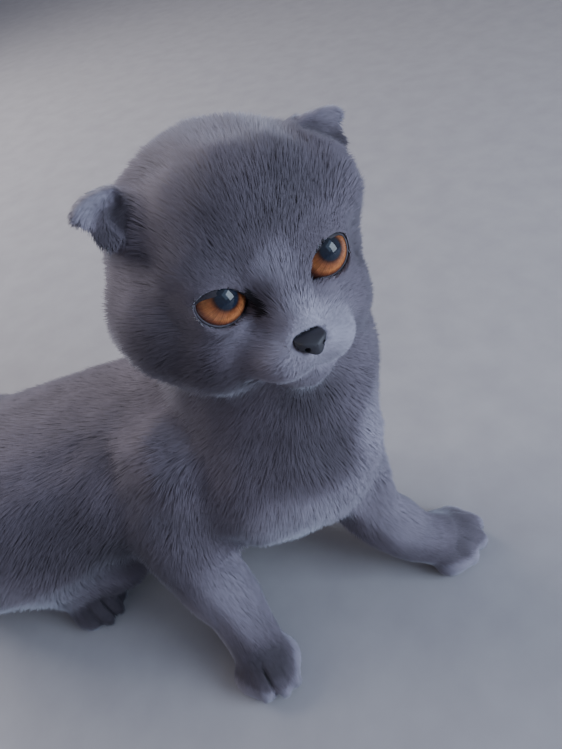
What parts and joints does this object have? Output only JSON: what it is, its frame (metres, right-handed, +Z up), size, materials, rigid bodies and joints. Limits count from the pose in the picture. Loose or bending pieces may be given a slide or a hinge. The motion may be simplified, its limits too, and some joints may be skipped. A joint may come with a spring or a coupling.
{
  "type": "fold-eared kitten figure",
  "caption": "Life-size young blue-grey cat with folded ears, resting on its hips with braced forelegs, turned head and a tail laid on the floor.",
  "frame": {"origin": "under the middle of the cat's box, at floor height", "axes": "+Z up; the chest looks along -Y; the cat's left is +X, and the hips and tail lie towards -X"},
  "size_m": [0.3588, 0.3064, 0.211],
  "materials": {
    "coat": "dense short plush fur, blue-grey",
    "nose_leather": "slightly moist slate-grey nose leather",
    "eye": "wet, clear cornea over a copper-orange iris"
  },
  "bodies": {
    "root": {"head": "coat", "neck": "coat", "chest": "coat", "hips": "coat", "foreleg_left": "coat", "foreleg_right": "coat", "forepaw_left": "coat", "forepaw_right": "coat", "hindleg_left": "coat", "hindleg_right": "coat", "hindpaw_left": "coat", "hindpaw_right": "coat", "tail_base": "coat", "tail_middle": "coat", "tail_tip": "coat", "ear_left": "coat", "ear_right": "coat", "nose": "nose_leather", "eye_left": "eye", "eye_right": "eye"}
  },
  "joints": []
}
